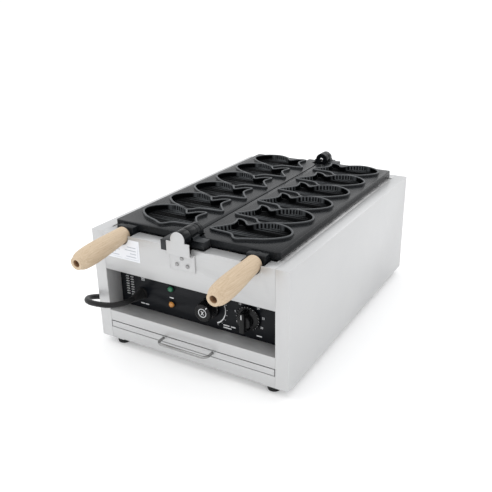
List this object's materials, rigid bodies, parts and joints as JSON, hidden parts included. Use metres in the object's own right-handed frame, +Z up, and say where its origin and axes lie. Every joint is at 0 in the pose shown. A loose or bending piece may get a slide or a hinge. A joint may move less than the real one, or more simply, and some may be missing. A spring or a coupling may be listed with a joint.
{
  "type": "fish-shaped waffle machine",
  "caption": "Counter-top electric waffle machine with fish-shaped moulds in two hinged plates that fold over each other, wooden handles, recessed controls and a crumb tray.",
  "frame": {"origin": "on the floor below the middle of the machine's box, from handle ends to rear bracket, cord left out", "axes": "+X to the user's right, +Y to the back, +Z up"},
  "size_m": [0.544, 0.6806, 0.2566],
  "materials": {
    "stainless": "brushed stainless sheet",
    "inner_steel": "mill-finish steel sheet",
    "bright_steel": "plain bright steel",
    "element_sheath": "heat-tinted metal sheath",
    "coated_casting": "cast aluminium with a dark non-stick coating",
    "beech": "turned light wood, oiled",
    "black_panel": "black powder coat",
    "foot_rubber": "moulded rubber",
    "label_white": "blank printed foil",
    "knob_black": "moulded black plastic",
    "brass": "turned brass",
    "inner_plastic": "moulded insulating plastic",
    "green_lens": "clear green plastic lens",
    "amber_lens": "clear amber plastic lens",
    "black_plastic": "moulded black plastic",
    "cord_rubber": "rubber cord sheath",
    "plated_pins": "plated pins"
  },
  "bodies": {
    "cabinet": {"left_side_panel": "stainless", "right_side_panel": "stainless", "front_upper_panel": "stainless", "lower_front_panel": "stainless", "bottom_front_rail": "stainless", "rear_panel": "stainless", "base_pan": "inner_steel", "control_panel": "black_panel", "recess_cheeks": "stainless", "heater_bay": "inner_steel", "left_plate_ledge": "inner_steel", "right_plate_ledge": "inner_steel", "element_supports": "inner_steel", "left_heating_element": "element_sheath", "right_heating_element": "element_sheath", "front_hinge_bracket": "stainless", "rear_hinge_bracket": "stainless", "front_pivot_pin": "bright_steel", "front_pivot_sleeve": "coated_casting", "rear_pivot_pin": "bright_steel", "bracket_rivets": "bright_steel", "rubber_feet": "foot_rubber", "foot_screws": "bright_steel", "rear_panel_screws": "bright_steel", "blank_label": "label_white", "tray_runners": "inner_steel", "thermostat_body": "inner_plastic", "thermostat_bulb": "brass", "timer_body": "inner_plastic", "green_lamp": "green_lens", "amber_lamp": "amber_lens", "lamp_holders": "inner_plastic", "cable_gland": "black_plastic", "strain_relief_boot": "cord_rubber", "terminal_block": "inner_plastic", "supply_leads": "cord_rubber", "cord_tube": "cord_rubber", "cord_coil": "cord_rubber", "cord_tail": "cord_rubber", "plug_body": "black_plastic", "plug_pins": "plated_pins"},
    "left_plate": {"left_mould_plate": "coated_casting", "left_hinge_arms": "coated_casting", "left_handle_rod": "bright_steel", "left_handle": "beech", "left_handle_nut": "bright_steel"},
    "right_plate": {"right_mould_plate": "coated_casting", "right_hinge_arms": "coated_casting", "right_handle_rod": "bright_steel", "right_handle": "beech", "right_handle_nut": "bright_steel"},
    "tray": {"crumb_tray": "stainless", "tray_pull": "bright_steel", "tray_pull_nuts": "bright_steel"},
    "thermostat_control": {"thermostat_knob": "knob_black", "thermostat_spindle": "brass"},
    "timer_control": {"timer_knob": "knob_black", "timer_spindle": "brass"}
  },
  "joints": [
    {"name": "left_plate_hinge", "type": "hinge", "parent": "cabinet", "child": "left_plate", "pos_m": [0, 0, 0.2431], "axis": [0, 1, 0], "range_deg": [0, 180]},
    {"name": "right_plate_hinge", "type": "hinge", "parent": "cabinet", "child": "right_plate", "pos_m": [0, 0, 0.2431], "axis": [0, -1, 0], "range_deg": [0, 180]},
    {"name": "tray_slide", "type": "slide", "parent": "cabinet", "child": "tray", "axis": [0, -1, 0], "range_m": [0, 0.38]},
    {"name": "thermostat_turn", "type": "hinge", "parent": "cabinet", "child": "thermostat_control", "pos_m": [0.027, -0.19675, 0.1095], "axis": [0, 1, 0], "range_deg": [0, 270]},
    {"name": "timer_turn", "type": "hinge", "parent": "cabinet", "child": "timer_control", "pos_m": [0.103, -0.19675, 0.1095], "axis": [0, 1, 0], "range_deg": [0, 300]}
  ]
}
